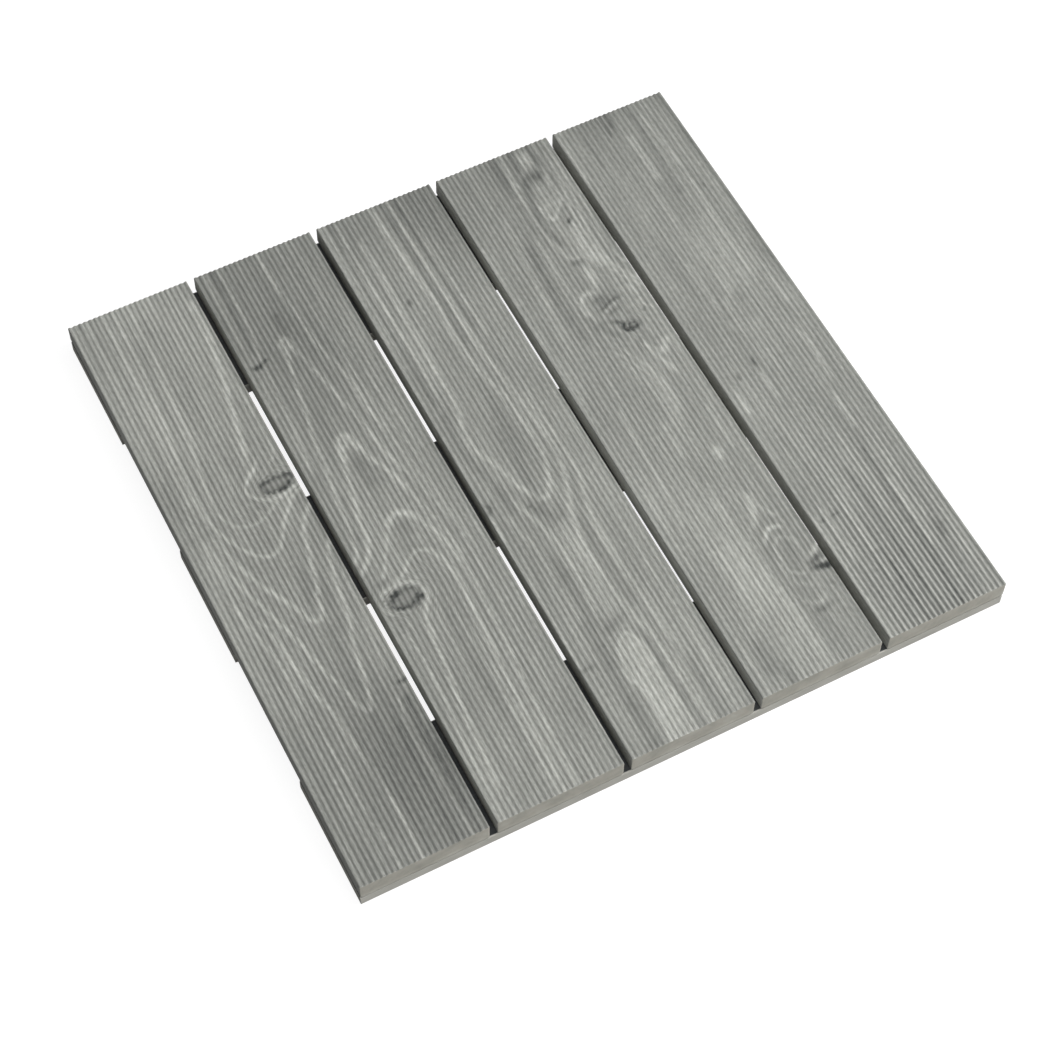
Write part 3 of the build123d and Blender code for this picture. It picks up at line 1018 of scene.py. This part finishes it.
def add_floor():
    """Pale floor: white where the camera sees it, greyer in what it throws back at the tile."""
    mesh = bpy.data.meshes.new("floor")
    reach = FLOOR_REACH
    corners = [(-reach, -reach, 0), (reach, -reach, 0), (reach, reach, 0), (-reach, reach, 0)]
    mesh.from_pydata(corners, [], [(0, 1, 2, 3)])
    floor = bpy.data.objects.new("floor", mesh)
    bpy.context.collection.objects.link(floor)
    material, tree, shader = new_material("pale_floor")
    seen = seen_rays(tree)
    dull = node(tree, "ShaderNodeBsdfDiffuse", Color=FLOOR_DULL)
    glow = node(tree, "ShaderNodeEmission", Strength=FLOOR_GLOW)
    white = node(tree, "ShaderNodeAddShader", i0=dull.outputs[0], i1=glow.outputs[0])
    mixed = node(tree, "ShaderNodeMixShader", i0=seen.outputs[0], i1=dull.outputs[0], i2=white.outputs[0])
    tree.links.new(mixed.outputs[0], tree.nodes["Material Output"].inputs["Surface"])
    tree.nodes.remove(shader)
    mesh.materials.append(material)


# The tile


def add_piece(name, mesh, stands_for):
    """Link a new piece to the root body, and hide the CAD node it stands for."""
    piece = bpy.data.objects.new(name, mesh)
    bpy.context.collection.objects.link(piece)
    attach(piece, "root")
    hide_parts(stands_for)


def build_slats():
    """Detailed slats in place of the plain ones."""
    wood = grey_pine_material()
    end_wood = end_grain_material()
    for index in range(SLAT_COUNT):
        name = f"slat_{index + 1}"
        mesh = slat_mesh(name, slat_centre(index), 10 * (index + 1), wood, end_wood)
        add_piece(name + "_board", mesh, name)


def build_screws():
    """Screws with a cross recess and a thread in place of the plain ones."""
    mesh = screws_mesh()
    mesh.materials.append(zinc_material())
    add_piece("wood_screws", mesh, "screws")


def finish_battens():
    """Battens keep their meshes and get their material."""
    wood = batten_material()
    for name in ("batten_near", "batten_middle", "batten_far"):
        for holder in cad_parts[name].material_slots:
            holder.material = wood


add_camera()
add_area_light("key", KEY)
add_area_light("overhead", OVERHEAD)
add_area_light("front", FRONT)
add_sky()
add_floor()
build_slats()
build_screws()
finish_battens()
bpy.context.scene.view_settings.view_transform = "Standard"
